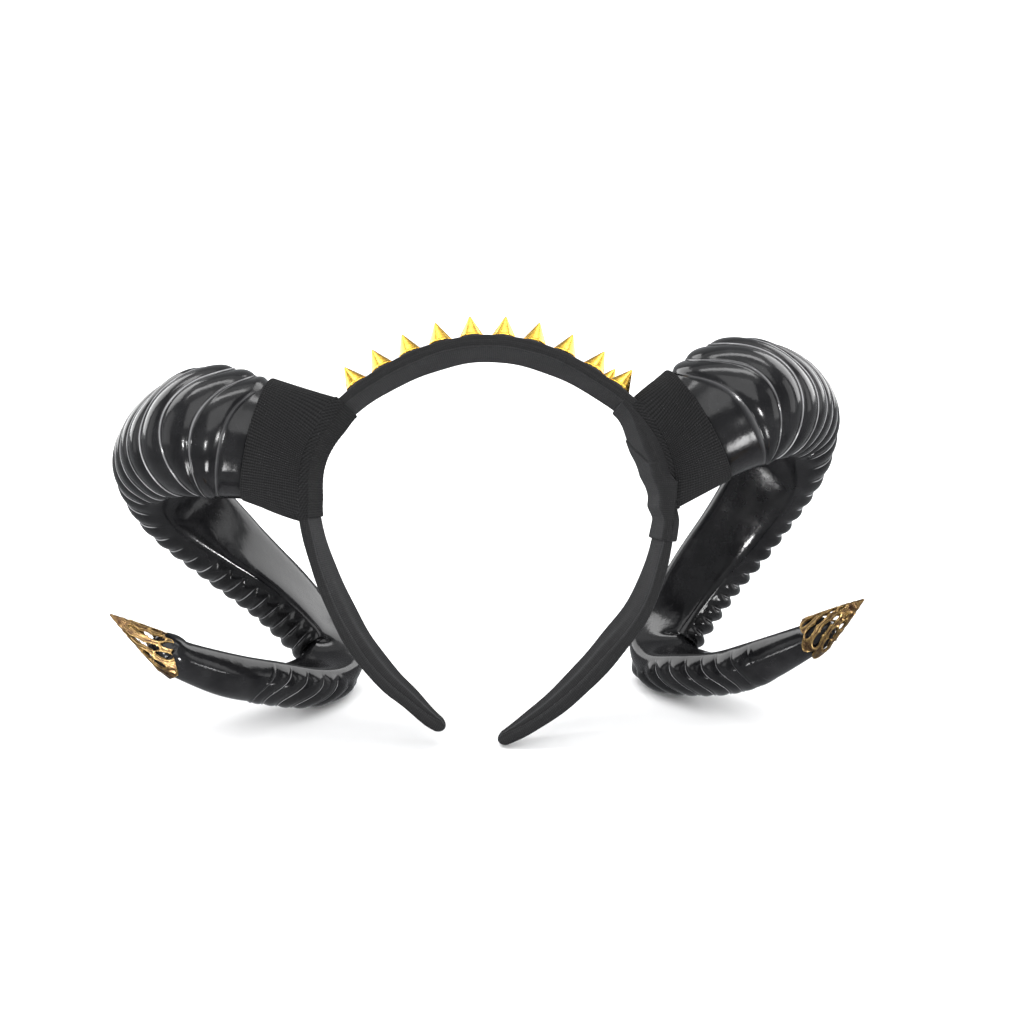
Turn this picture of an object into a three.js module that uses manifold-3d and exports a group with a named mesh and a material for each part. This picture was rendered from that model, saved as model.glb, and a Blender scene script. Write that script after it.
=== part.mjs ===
// Ram horns headband, in millimetres, +Z up.
// A springy cloth-covered hoop, open at the bottom, carries two glossy ribbed horns.
// Each horn leaves its knit sleeve outwards, curls back and down, and comes forward to a
// pierced cone cap. A row of cone studs stands along the crown of the hoop.
// Everything is first laid out with the hoop upright: x to the right, y back, z up.
// Then the whole headband is leant back until it rests by itself.
// SIZE brings the laid-out sizes to the real width of about 270 mm.
import * as THREE from "three";
import { mergeVertices } from "three/addons/utils/BufferGeometryUtils.js";
import Module from "manifold-3d";

const wasm = await Module();
wasm.setup();

// How the headband rests: leant back and rolled a little onto its longer end
const REST_LEAN_DEG = 14.43;
const REST_ROLL_DEG = 1.4;

const SIZE = 0.985;

// How far a cutter of the band reaches past its inner side and its rims
const BEYOND = { deeper: 30, wider: 30 };

// Gap kept between neighbouring pieces
const GAP = 0.35;

// Points of a cut piece nearer to each other than this are joined
const SLIVER = 0.005;

// Hoop
const HOOP_MID_Y = 4;
const HOOP_SEGMENTS = 72;
const HOOP_EDGE_ROUND = 0.9;
// How much rounder the edge of a skin over the hoop gets with each mm that it stands out
const HOOP_ROUND_PER_GROWTH = 0.4;
// Front outer rim of the hoop from the left end to the right end.
// x, up: rim point; wide: front to back; drop: how far the rear rim sits inside; thick: wall
const HOOP = [
  { x: -16.0, up: -87.6, wide: 6.5, drop: 3.2, thick: 2.2 },
  { x: -21.8, up: -84.0, wide: 9.5, drop: 4.0, thick: 2.6 },
  { x: -29.2, up: -77.9, wide: 12.5, drop: 5.0, thick: 2.8 },
  { x: -38.2, up: -70.6, wide: 15.0, drop: 5.9, thick: 3.0 },
  { x: -48.6, up: -58.9, wide: 17.0, drop: 6.4, thick: 3.0 },
  { x: -57.4, up: -41.8, wide: 19.0, drop: 5.6, thick: 3.0 },
  { x: -63.6, up: -22.8, wide: 20.5, drop: 4.0, thick: 3.0 },
  { x: -67.2, up: -4.0, wide: 22.0, drop: 2.8, thick: 3.0 },
  { x: -66.4, up: 12.0, wide: 22.0, drop: 2.8, thick: 3.0 },
  { x: -59.4, up: 26.0, wide: 22.0, drop: 3.4, thick: 3.0 },
  { x: -46.4, up: 38.4, wide: 22.0, drop: 4.2, thick: 3.3 },
  { x: -27.4, up: 49.4, wide: 22.0, drop: 5.0, thick: 3.6 },
  { x: -9.0, up: 54.8, wide: 22.0, drop: 5.2, thick: 3.6 },
  { x: 9.0, up: 54.8, wide: 22.0, drop: 5.2, thick: 3.6 },
  { x: 27.4, up: 49.4, wide: 22.0, drop: 5.0, thick: 3.6 },
  { x: 46.4, up: 37.8, wide: 22.0, drop: 4.2, thick: 3.3 },
  { x: 59.8, up: 25.0, wide: 22.0, drop: 3.4, thick: 3.0 },
  { x: 67.2, up: 10.0, wide: 22.0, drop: 2.8, thick: 3.0 },
  { x: 67.8, up: -6.0, wide: 21.5, drop: 2.8, thick: 3.0 },
  { x: 65.2, up: -24.6, wide: 20.5, drop: 4.0, thick: 3.0 },
  { x: 59.0, up: -43.6, wide: 19.0, drop: 5.6, thick: 3.0 },
  { x: 47.6, up: -60.0, wide: 17.0, drop: 6.4, thick: 3.5 },
  { x: 31.7, up: -76.5, wide: 14.0, drop: 5.8, thick: 3.5 },
  { x: 17.4, up: -87.0, wide: 11.0, drop: 4.6, thick: 3.1 },
  { x: 4.9, up: -93.1, wide: 6.5, drop: 3.2, thick: 2.2 },
];

// Horns: both are the same moulding, mirrored.
// Centre line from the cuff on: out, back, up from the cuff's middle.
// across: half the section beside the curl; deep: half of it towards the curl;
// hang: share of the droop of that side's lower strand
const HORN = [
  { out: 0.0, back: 0.0, up: 0.0, across: 21.6, deep: 21.4, hang: 0 },
  { out: 14.7, back: 3.0, up: 6.0, across: 24.2, deep: 23.6, hang: 0 },
  { out: 24.5, back: 10.0, up: 6.2, across: 22.0, deep: 21.0, hang: 0 },
  { out: 32.1, back: 22.0, up: 5.0, across: 19.6, deep: 18.2, hang: 0 },
  { out: 36.6, back: 36.0, up: 0.6, across: 18.0, deep: 16.2, hang: 0 },
  { out: 32.2, back: 50.0, up: -13.7, across: 16.6, deep: 15.0, hang: 0 },
  { out: 15.1, back: 60.0, up: -34.7, across: 14.6, deep: 13.4, hang: 0 },
  { out: -2.0, back: 65.0, up: -53.2, across: 13.3, deep: 12.2, hang: 0 },
  { out: -14.8, back: 65.0, up: -69.1, across: 12.7, deep: 11.4, hang: 0 },
  { out: -22.5, back: 60.0, up: -79.9, across: 12.2, deep: 10.9, hang: 0 },
  { out: -20.3, back: 50.0, up: -86.4, across: 10.9, deep: 9.8, hang: 0 },
  { out: -11.3, back: 37.0, up: -88.9, across: 10.3, deep: 9.3, hang: 0 },
  { out: 2.4, back: 23.0, up: -86.7, across: 9.4, deep: 8.7, hang: 1 },
  { out: 14.9, back: 10.0, up: -83.7, across: 8.5, deep: 8.1, hang: 1 },
];
// The curl's axis, from the cuff's middle
const CURL_BACK = 32;
const CURL_UP = -48;
// Share of the depth kept on the smooth face towards the curl
const INNER_FACE_SHARE = 0.8;
// The inner face is fully flattened this many times sooner than the horn ends
const FLAT_FROM_ROOT = 12;

// Each horn's place: the seat on the hoop, the cuff, the rim and the point of the cap,
// all as x, y, z of the right side; the angles turn the whole horn about its cuff.
// faceTurn: how far the smooth face is turned towards the hoop at each row of HORN, in degrees
const SIDES = [
  {
    name: "left",
    sign: -1,
    seat: [58.0, 4, 11.0],
    cuff: [82.4, 4, 17.6],
    liftAtCuff: -12.1,
    liftAtTip: -2.4,
    yaw: -9.2,
    pitch: -2.6,
    droop: 0,
    faceTurn: [0, 0, 10, 30, 55, 72, 62, 50, 42, 30, 15, 5, 0, 0],
    capRim: [112.6, -9.5, -58.2],
    capPoint: [131.2, -19.5, -43.6],
  },
  {
    name: "right",
    sign: 1,
    seat: [56.0, 4, 12.4],
    cuff: [76.0, 4, 22.2],
    liftAtCuff: 9.5,
    liftAtTip: 5.2,
    yaw: -4.7,
    pitch: -1.1,
    droop: 2.8,
    faceTurn: [0, 0, 10, 30, 50, 52, 32, 22, 18, 12, 6, 0, 0, 0],
    capRim: [116.6, -10.0, -51.0],
    capPoint: [129.8, -27.0, -38.0],
  },
];

// Section of the horn's base where it sits on the hoop, and midway to the cuff
const SEAT_ACROSS = 12.6;
const SEAT_DEEP = 20.4;
const MIDWAY_SWELL = 2;
const MIDWAY_DEEP = 21;
const HORN_SIDES = 16;
// Rounded end of the horn in the cap: share of the cap's length from its rim, and how much
// smaller the horn is there than the cap's bore
const HORN_END = [
  { along: -0.22, clear: 0.64 },
  { along: 0.0, clear: 0.5 },
  { along: 0.14, clear: 0.4 },
  { along: 0.24, clear: 0.8 },
  { along: 0.31, clear: 2.2 },
];

// Ribs: first and last along the horn as shares of its length, pitch and height in mm.
// The pitch reaches its end value at a share of the length, the height at another
const RIB_FIRST = 0.115;
const RIB_LAST = 0.86;
const RIB_PITCH_ROOT = 7.4;
const RIB_PITCH_TIP = 6.8;
const RIB_PITCH_REACHED = 0.53;
const RIB_HEIGHT = 1.25;
const RIB_HEIGHT_AT_ROOT = 0.55;
const RIB_HEIGHT_REACHED = 0.25;
const RIB_FADE_AT_TIP = 0.14;
// The ribs end on the inner face between these cosines of the angle from the outer side
const RIB_EDGE_LOW = -0.45;
const RIB_EDGE_HIGH = 0.1;
// Plain rings between the last rib and the horn's end
const PLAIN_RINGS = 4;
// Where on a rib its rings lie, and how high each one is
const RIB_RINGS = [
  { along: 0.12, height: 0.0 },
  { along: 0.82, height: 1.0 },
];

// Knit sleeves, and the room left round the horn inside them
const KNIT = 1.5;
const ROOM = 0.5;
// Where the knit wound round the hoop starts and ends, in height above the hoop's middle
const SLEEVE_WRAP = { left: { low: -10.6, high: 32.8 }, right: { low: -6.8, high: 31.8 } };
// Rings of the horn's base and of its sleeve, from the seat to the cuff
const BASE_SHARES = [0, 0.35, 0.7, 1];

// Smooth cloth strip on the inside of the right sleeve
const STRIP = 1.0;
// Heights above the hoop's middle: lower end, top of the turn round the hoop, upper end
const STRIP_LOW = -18.6;
const STRIP_TURN = -7.6;
const STRIP_HIGH = 34.5;
// How far below the band's outer face the strip up the inside starts
const STRIP_IN = 2;

// Studs
const STUD_HEIGHT = 8.6;
const STUD_RADIUS = 4.6;
const STUD_LIP = 0.7;
const STUD_SIDES = 12;
const STUD_FRONT_SHARE = 0.25;
const STUD_X = [-46.9, -37.8, -27.8, -16.9, -5.7, 5.9, 16.9, 27.7, 38.1, 47.3];
// The last stud stands behind the tenth
const STUD_BEHIND_X = 43.4;
const STUD_BEHIND_SHARE = 0.74;

// Pierced caps
const CAP_WALL = 0.8;
const CAP_RIM_RADIUS = 6.8;
const CAP_LOBE_RADIUS = 7.2;
const CAP_POINT_RADIUS = 0.7;
const CAP_SIDES = 16;
const CAP_LOBES = 6;
const CAP_LOBE_SHARE = 0.2;
const CAP_HOLLOW_SHARE = 0.88;
// Every third notch between the lobes of the rim is this share as deep as the rest
const CAP_SHALLOW_NOTCH = 0.75;
const CAP_BLUNT = 0.4;
// Rings of leaf-shaped openings: along the cap, how long and wide, how many, turned by
const CAP_LEAVES = [
  { along: 0.15, long: 5.6, wide: 2.6, count: 7, turn: 0.0 },
  { along: 0.34, long: 5.0, wide: 2.1, count: 6, turn: 0.5 },
  { along: 0.53, long: 4.0, wide: 1.5, count: 5, turn: 0.25 },
];
// Half outline of a leaf and of a notch, as shares of its half width and of its length
const LEAF_SHAPE = [[1, -0.12], [0.76, 0.2]];
const NOTCH_SHAPE = [[0.45, 0.7]];

// Steps for slopes and searches, and how far a cutter reaches past what it cuts
const SLOPE_STEP = 1e-3;
const HALVINGS = 40;
const MEASURES = 600;
const CUTTER_SPARE = 0.04;

const rad = THREE.MathUtils.degToRad;

// Catmull-Rom value through equally spaced rows; t runs from 0 to 1
function through(values, t) {
  const span = Math.min(Math.max(t, 0), 1) * (values.length - 1);
  const i = Math.min(Math.floor(span), values.length - 2);
  const f = span - i;
  const b = values[i];
  const c = values[i + 1];
  const a = i > 0 ? values[i - 1] : 2 * b - c;
  const d = i + 2 < values.length ? values[i + 2] : 2 * c - b;
  const cubic = (3 * b - 3 * c + d - a) * f * f * f;
  return 0.5 * (2 * b + (c - a) * f + (2 * a - 5 * b + 4 * c - d) * f * f + cubic);
}

const column = (table, key) => table.map((row) => row[key]);

// Closed skin over rings of points, with a flat end on the first and the last ring
function skin(rings) {
  const sides = rings[0].length;
  const positions = rings.flat().flatMap((p) => [p.x, p.y, p.z]);
  const index = [];
  for (let i = 0; i < rings.length - 1; i += 1) {
    for (let j = 0; j < sides; j += 1) {
      const next = (j + 1) % sides;
      const a = i * sides + j;
      const b = i * sides + next;
      index.push(a, b, b + sides, a, b + sides, a + sides);
    }
  }
  const last = (rings.length - 1) * sides;
  for (let j = 1; j < sides - 1; j += 1) {
    index.push(0, j + 1, j);
    index.push(last, last + j, last + j + 1);
  }
  const geometry = new THREE.BufferGeometry();
  geometry.setAttribute("position", new THREE.Float32BufferAttribute(positions, 3));
  geometry.setIndex(index);
  return geometry;
}

function toManifold(geometry, weld = 1e-5) {
  const bare = geometry.clone();
  bare.deleteAttribute("normal");
  bare.deleteAttribute("uv");
  const merged = mergeVertices(bare, weld);
  const body = new wasm.Manifold(new wasm.Mesh({
    numProp: 3,
    vertProperties: new Float32Array(merged.attributes.position.array),
    triVerts: new Uint32Array(merged.index.array),
  }));
  return body;
}

function toGeometry(body) {
  const mesh = body.getMesh();
  const geometry = new THREE.BufferGeometry();
  geometry.setAttribute("position", new THREE.BufferAttribute(new Float32Array(mesh.vertProperties), 3));
  geometry.setIndex(new THREE.BufferAttribute(new Uint32Array(mesh.triVerts), 1));
  return geometry;
}

// The largest body of a cut, without the slivers that lie loose beside it
function largest(body) {
  const bodies = toManifold(toGeometry(body), SLIVER).decompose();
  return bodies.reduce((most, one) => (one.volume() > most.volume() ? one : most), bodies[0]);
}

// Hoop: frame of the band at a share of its run.
// rim is the front outer edge, across runs to the rear outer edge, inward to the head
function hoopAt(t) {
  const rim = new THREE.Vector3(through(column(HOOP, "x"), t), 0, through(column(HOOP, "up"), t));
  const before = Math.max(t - SLOPE_STEP, 0);
  const after = Math.min(t + SLOPE_STEP, 1);
  const run = new THREE.Vector3(
    through(column(HOOP, "x"), after) - through(column(HOOP, "x"), before),
    0,
    through(column(HOOP, "up"), after) - through(column(HOOP, "up"), before),
  ).normalize();
  const wide = through(column(HOOP, "wide"), t);
  const drop = through(column(HOOP, "drop"), t);
  const thick = through(column(HOOP, "thick"), t);
  const inside = new THREE.Vector3(run.z, 0, -run.x);
  const across = new THREE.Vector3(0, Math.sqrt(wide * wide - drop * drop), 0);
  across.addScaledVector(inside, drop);
  across.normalize();
  const inward = new THREE.Vector3().crossVectors(across, run).normalize();
  if (inward.dot(inside) < 0) {
    inward.negate();
  }
  rim.y = HOOP_MID_Y - wide / 2;
  return { rim, run, across, inward, wide, thick };
}

// Ring of the band's section, grown by a margin. deeper carries its inner side further in,
// wider its two rims further out, and shaved takes as much off its outer side
function hoopRing(t, grow, { deeper = 0, wider = 0, shaved = 0 } = {}) {
  const { rim, across, inward, wide, thick } = hoopAt(t);
  const low = -grow - wider;
  const high = wide + grow + wider;
  const out = shaved - grow;
  const into = thick + grow + deeper;
  const bevel = HOOP_EDGE_ROUND + grow * HOOP_ROUND_PER_GROWTH;
  const corners = [
    [low + bevel, out],
    [low, out + bevel],
    [low, into - bevel],
    [low + bevel, into],
    [high - bevel, into],
    [high, into - bevel],
    [high, out + bevel],
    [high - bevel, out],
  ];
  return corners.map(([u, v]) => rim.clone().addScaledVector(across, u).addScaledVector(inward, v));
}

// Band between two shares of its run, on the hoop's own stations
function hoopSweep(from, to, grow, shape) {
  const shares = [from];
  for (let i = 0; i <= HOOP_SEGMENTS; i += 1) {
    const share = i / HOOP_SEGMENTS;
    if (share > from + SLOPE_STEP / 10 && share < to - SLOPE_STEP / 10) {
      shares.push(share);
    }
  }
  shares.push(to);
  return skin(shares.map((share) => hoopRing(share, grow, shape)));
}

// Share of the hoop's run at which the rim reaches a height on one side
function hoopShareAtHeight(sign, up) {
  let low = sign < 0 ? 0 : 0.5;
  let high = sign < 0 ? 0.5 : 1;
  for (let i = 0; i < HALVINGS; i += 1) {
    const mid = (low + high) / 2;
    const above = through(column(HOOP, "up"), mid) > up;
    if (sign < 0 ? above : !above) {
      high = mid;
    } else {
      low = mid;
    }
  }
  return (low + high) / 2;
}

// Share of the hoop's run at which the rim reaches x, on the crown
function hoopShareAtX(x) {
  const xs = column(HOOP, "x");
  let low = xs.indexOf(Math.min(...xs)) / (HOOP.length - 1);
  let high = xs.indexOf(Math.max(...xs)) / (HOOP.length - 1);
  for (let i = 0; i < HALVINGS; i += 1) {
    const mid = (low + high) / 2;
    if (through(xs, mid) > x) {
      high = mid;
    } else {
      low = mid;
    }
  }
  return (low + high) / 2;
}

// Inner radius of the cap at a share of its length from the rim
function capBore(along) {
  const rim = CAP_RIM_RADIUS - CAP_WALL;
  if (along < 0) {
    return rim + ((CAP_LOBE_RADIUS - CAP_RIM_RADIUS) * -along) / CAP_LOBE_SHARE;
  }
  return rim * (1 - along / CAP_HOLLOW_SHARE);
}

// Rows of one horn in the hoop's frame: the seat, the moulded curve, and the end in the cap
function hornRows(side) {
  const rows = [];
  const seat = new THREE.Vector3(...side.seat);
  const cuff = new THREE.Vector3(...side.cuff);
  rows.push({ at: seat, across: SEAT_ACROSS, deep: SEAT_DEEP, turn: 0 });
  const midway = (SEAT_ACROSS + HORN[0].across) / 2 + MIDWAY_SWELL;
  rows.push({ at: seat.clone().lerp(cuff, 0.5), across: midway, deep: MIDWAY_DEEP, turn: 0 });
  HORN.forEach((row, i) => {
    const share = i / (HORN.length - 1);
    const lift = rad(side.liftAtCuff + (side.liftAtTip - side.liftAtCuff) * share);
    const at = new THREE.Vector3(row.out, row.back, row.up);
    at.applyAxisAngle(new THREE.Vector3(0, 0, 1), rad(side.yaw));
    at.applyAxisAngle(new THREE.Vector3(1, 0, 0), rad(side.pitch));
    at.applyAxisAngle(new THREE.Vector3(0, 1, 0), -lift);
    at.z -= side.droop * row.hang;
    rows.push({ at: at.add(cuff), across: row.across, deep: row.deep, turn: side.faceTurn[i] });
  });
  const rim = new THREE.Vector3(...side.capRim);
  const point = new THREE.Vector3(...side.capPoint);
  HORN_END.forEach((row) => {
    const radius = capBore(row.along) - row.clear;
    rows.push({ at: rim.clone().lerp(point, row.along), across: radius, deep: radius, turn: 0 });
  });
  rows.forEach((row) => {
    row.at.x *= side.sign;
  });
  return rows;
}

// Centre, girth and directions of a horn at a share of its rows
function hornAt(rows, side, t) {
  const pick = (get) => through(rows.map(get), t);
  const at = new THREE.Vector3(pick((r) => r.at.x), pick((r) => r.at.y), pick((r) => r.at.z));
  const before = Math.max(t - SLOPE_STEP, 0);
  const after = Math.min(t + SLOPE_STEP, 1);
  const run = new THREE.Vector3(
    through(rows.map((r) => r.at.x), after) - through(rows.map((r) => r.at.x), before),
    through(rows.map((r) => r.at.y), after) - through(rows.map((r) => r.at.y), before),
    through(rows.map((r) => r.at.z), after) - through(rows.map((r) => r.at.z), before),
  ).normalize();
  const cuff = new THREE.Vector3(...side.cuff);
  const toCurl = new THREE.Vector3(0, cuff.y + CURL_BACK - at.y, cuff.z + CURL_UP - at.z);
  toCurl.addScaledVector(run, -toCurl.dot(run)).normalize();
  toCurl.applyAxisAngle(run, rad(pick((r) => r.turn)) * side.sign);
  const beside = new THREE.Vector3().crossVectors(run, toCurl).normalize();
  return { at, run, toCurl, beside, across: pick((r) => r.across), deep: pick((r) => r.deep) };
}

// Ring of a horn's section; lift raises the outer side, grow adds a margin all round
function hornRing(rows, side, t, sides, lift, grow = 0) {
  const { at, toCurl, beside, across, deep } = hornAt(rows, side, t);
  const ring = [];
  for (let j = 0; j < sides; j += 1) {
    const angle = (2 * Math.PI * j) / sides;
    const facing = Math.cos(angle);
    const flatness = (1 - INNER_FACE_SHARE) * Math.min(1, t * FLAT_FROM_ROOT);
    const flat = 1 - flatness * Math.max(facing, 0);
    const ribbed = THREE.MathUtils.smoothstep(-facing, RIB_EDGE_LOW, RIB_EDGE_HIGH);
    const u = facing * (deep * flat + grow + lift * ribbed);
    const v = Math.sin(angle) * (across + grow + lift * ribbed);
    ring.push(at.clone().addScaledVector(toCurl, u).addScaledVector(beside, v));
  }
  return ring;
}

// Share of the horn's rows at its cuff
const cuffShare = (rows) => 2 / (rows.length - 1);

// Shares of the horn's rows and rib heights at which its rings lie
function hornStations(rows, side) {
  const lengths = [0];
  let last = hornAt(rows, side, 0).at;
  for (let i = 1; i <= MEASURES; i += 1) {
    const here = hornAt(rows, side, i / MEASURES).at;
    lengths.push(lengths[i - 1] + here.distanceTo(last));
    last = here;
  }
  const total = lengths[MEASURES];
  const shareAt = (length) => {
    const i = Math.min(Math.max(lengths.findIndex((l) => l >= length), 1), MEASURES);
    const f = (length - lengths[i - 1]) / (lengths[i] - lengths[i - 1]);
    return (i - 1 + f) / MEASURES;
  };
  const stations = BASE_SHARES.map((share) => ({ t: share * cuffShare(rows), lift: 0 }));
  let along = total * RIB_FIRST;
  while (along < total * RIB_LAST) {
    const share = along / total;
    const towardsTip = Math.min(share / RIB_PITCH_REACHED, 1);
    const pitch = RIB_PITCH_ROOT + (RIB_PITCH_TIP - RIB_PITCH_ROOT) * towardsTip;
    const grown = THREE.MathUtils.smoothstep(share, RIB_FIRST, RIB_HEIGHT_REACHED);
    const end = 1 - THREE.MathUtils.smoothstep(share, RIB_LAST - RIB_FADE_AT_TIP, RIB_LAST);
    const high = RIB_HEIGHT * (RIB_HEIGHT_AT_ROOT + (1 - RIB_HEIGHT_AT_ROOT) * grown) * end;
    RIB_RINGS.forEach((ring) => {
      stations.push({ t: shareAt(along + pitch * ring.along), lift: high * ring.height });
    });
    along += pitch;
  }
  const from = stations[stations.length - 1].t;
  for (let i = 1; i <= PLAIN_RINGS; i += 1) {
    stations.push({ t: from + ((1 - from) * i) / PLAIN_RINGS, lift: 0 });
  }
  return stations;
}

// Cap: a cone shell from its rim to its point, scalloped at the rim and pierced with leaves
function capBody(side) {
  const rim = new THREE.Vector3(...side.capRim);
  const point = new THREE.Vector3(...side.capPoint);
  rim.x *= side.sign;
  point.x *= side.sign;
  const long = rim.distanceTo(point);
  const back = -CAP_LOBE_SHARE * long;
  const profile = [
    new THREE.Vector2(0, long * CAP_HOLLOW_SHARE),
    new THREE.Vector2(CAP_RIM_RADIUS - CAP_WALL, 0),
    new THREE.Vector2(CAP_LOBE_RADIUS - CAP_WALL, back),
    new THREE.Vector2(CAP_LOBE_RADIUS, back),
    new THREE.Vector2(CAP_RIM_RADIUS, 0),
    new THREE.Vector2(CAP_POINT_RADIUS, long - CAP_BLUNT),
    new THREE.Vector2(0, long),
  ];
  let body = toManifold(new THREE.LatheGeometry(profile, CAP_SIDES));
  const outward = CAP_LOBE_RADIUS * 2;
  const cut = (outline, along, turn) => {
    const shape = new THREE.Shape(outline.map(([u, v]) => new THREE.Vector2(u, v)));
    const prism = new THREE.ExtrudeGeometry(shape, { depth: outward, bevelEnabled: false, steps: 1 });
    prism.translate(0, along, 0);
    prism.rotateY(turn);
    body = body.subtract(toManifold(prism));
  };
  CAP_LEAVES.forEach((row) => {
    for (let i = 0; i < row.count; i += 1) {
      const half = LEAF_SHAPE.map(([u, v]) => [(u * row.wide) / 2, v * row.long]);
      const other = half.map(([u, v]) => [-u, v]).reverse();
      const leaf = [[0, -row.long / 2], ...half, [0, row.long / 2], ...other];
      cut(leaf, row.along * long, (2 * Math.PI * (i + row.turn)) / row.count);
    }
  });
  // Notches between the lobes of the rim
  for (let i = 0; i < CAP_LOBES; i += 1) {
    const wide = (Math.PI * CAP_RIM_RADIUS) / CAP_LOBES;
    const depth = CAP_LOBE_SHARE * long * (i % 3 === 0 ? CAP_SHALLOW_NOTCH : 1);
    const half = NOTCH_SHAPE.map(([u, v]) => [u * wide, back + v * depth]);
    const other = half.map(([u, v]) => [-u, v]).reverse();
    const notch = [[-wide, back - CAP_WALL], [wide, back - CAP_WALL], ...half, [0, back + depth], ...other];
    cut(notch, 0, (2 * Math.PI * (i + 0.5)) / CAP_LOBES);
  }
  const geometry = toGeometry(body);
  const axis = point.clone().sub(rim).normalize();
  geometry.applyQuaternion(new THREE.Quaternion().setFromUnitVectors(new THREE.Vector3(0, 1, 0), axis));
  geometry.translate(rim.x, rim.y, rim.z);
  return geometry;
}

// Stud: a cone on a short lip, standing square on the hoop's outer face
function studBody(x, frontShare) {
  const { rim, across, inward, wide } = hoopAt(hoopShareAtX(x));
  const profile = [
    new THREE.Vector2(0, 0),
    new THREE.Vector2(STUD_RADIUS, 0),
    new THREE.Vector2(STUD_RADIUS, STUD_LIP),
    new THREE.Vector2(0, STUD_HEIGHT),
  ];
  const geometry = new THREE.LatheGeometry(profile, STUD_SIDES);
  const outward = inward.clone().negate();
  geometry.applyQuaternion(new THREE.Quaternion().setFromUnitVectors(new THREE.Vector3(0, 1, 0), outward));
  const foot = rim.clone().addScaledVector(across, wide * frontShare).addScaledVector(outward, GAP);
  geometry.translate(foot.x, foot.y, foot.z);
  return geometry;
}

const looks = {
  cloth: { color: 0x17171a, roughness: 0.9, metalness: 0 },
  knit: { color: 0x1b1b1d, roughness: 0.95, metalness: 0 },
  horn: { color: 0x08080a, roughness: 0.18, metalness: 0 },
  gold: { color: 0xe0a32c, roughness: 0.3, metalness: 1 },
  brass: { color: 0xa87f3f, roughness: 0.38, metalness: 1 },
};

const headband = new THREE.Group();
headband.name = "ram_horns_headband";

function add(name, geometry, look) {
  const mesh = new THREE.Mesh(geometry, new THREE.MeshStandardMaterial(looks[look]));
  mesh.name = name;
  mesh.material.name = look;
  headband.add(mesh);
}

add("headband", hoopSweep(0, 1, 0), "cloth");

SIDES.forEach((side) => {
  const rows = hornRows(side);
  const wrap = SLEEVE_WRAP[side.name];
  const shares = [hoopShareAtHeight(side.sign, wrap.low), hoopShareAtHeight(side.sign, wrap.high)];
  const from = Math.min(...shares);
  const to = Math.max(...shares);

  // Knit wound round the hoop
  const knit = toManifold(hoopSweep(from, to, GAP + KNIT));
  const band = toManifold(hoopSweep(from - CUTTER_SPARE, to + CUTTER_SPARE, GAP));
  add(`wrap_${side.name}`, toGeometry(largest(knit.subtract(band))), "knit");

  // Horn and its sleeve, both seated on the wound knit
  const seatCut = toManifold(hoopSweep(from - CUTTER_SPARE, to + CUTTER_SPARE, GAP + KNIT + GAP, BEYOND));
  const stations = hornStations(rows, side);
  const hornRings = stations.map((s) => hornRing(rows, side, s.t, HORN_SIDES, s.lift));
  const horn = largest(toManifold(skin(hornRings)).subtract(seatCut));
  add(`horn_${side.name}`, toGeometry(horn), "horn");

  const loft = (grow, count) => {
    const rings = stations.slice(0, count).map((s) => hornRing(rows, side, s.t, HORN_SIDES, 0, grow));
    return toManifold(skin(rings));
  };
  const outer = loft(ROOM + KNIT, BASE_SHARES.length);
  const room = loft(ROOM, BASE_SHARES.length + 1);
  add(`sleeve_${side.name}`, toGeometry(largest(outer.subtract(room).subtract(seatCut))), "knit");

  add(`tip_cap_${side.name}`, capBody(side), "brass");
});

// Smooth strip: wound once round the hoop below the right sleeve, then laid up its inside
const stripLow = hoopShareAtHeight(1, STRIP_LOW);
const stripTurn = hoopShareAtHeight(1, STRIP_TURN);
const stripHigh = hoopShareAtHeight(1, STRIP_HIGH);
const knitLow = hoopShareAtHeight(1, SLEEVE_WRAP.right.low - GAP);
const overKnit = GAP + KNIT + GAP;
const turn = toManifold(hoopSweep(stripTurn, stripLow, GAP + STRIP));
const inside = { wider: -overKnit - STRIP, shaved: overKnit + STRIP + STRIP_IN };
const laid = toManifold(hoopSweep(stripHigh, stripLow, overKnit + STRIP, inside));
const underneath = toManifold(hoopSweep(stripHigh - CUTTER_SPARE, knitLow, overKnit));
const bandInside = toManifold(hoopSweep(stripHigh - CUTTER_SPARE, stripLow + CUTTER_SPARE, GAP));
const strip = largest(turn.add(laid).subtract(underneath).subtract(bandInside));
add("strip_right", toGeometry(strip), "cloth");

STUD_X.forEach((x, i) => {
  add(`spike_${String(i + 1).padStart(2, "0")}`, studBody(x, STUD_FRONT_SHARE), "gold");
});
add("spike_11", studBody(STUD_BEHIND_X, STUD_BEHIND_SHARE), "gold");

// Lean the headband back into its rest and set it on the floor about the middle
const rest = new THREE.Matrix4().makeRotationY(rad(REST_ROLL_DEG));
rest.premultiply(new THREE.Matrix4().makeRotationX(-rad(REST_LEAN_DEG)));
rest.premultiply(new THREE.Matrix4().makeScale(SIZE, SIZE, SIZE));
headband.children.forEach((mesh) => mesh.geometry.applyMatrix4(rest));
const box = new THREE.Box3().setFromObject(headband);
const middle = box.getCenter(new THREE.Vector3());
headband.children.forEach((mesh) => {
  mesh.geometry.translate(-middle.x, -middle.y, -box.min.z);
  mesh.geometry.computeVertexNormals();
});

export default headband;
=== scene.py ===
"""Ram horns headband: a cloth hoop, two glossy ribbed horns in knit sleeves, gold studs
along the crown, and a pierced brass cap on each tip.

Shapes are worked out with the hoop upright, in millimetres (x right, y back, z up), and
settle() lays them down as the headband rests, in metres.
"""

import math

import bpy
import numpy as np
from mathutils import Matrix


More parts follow.
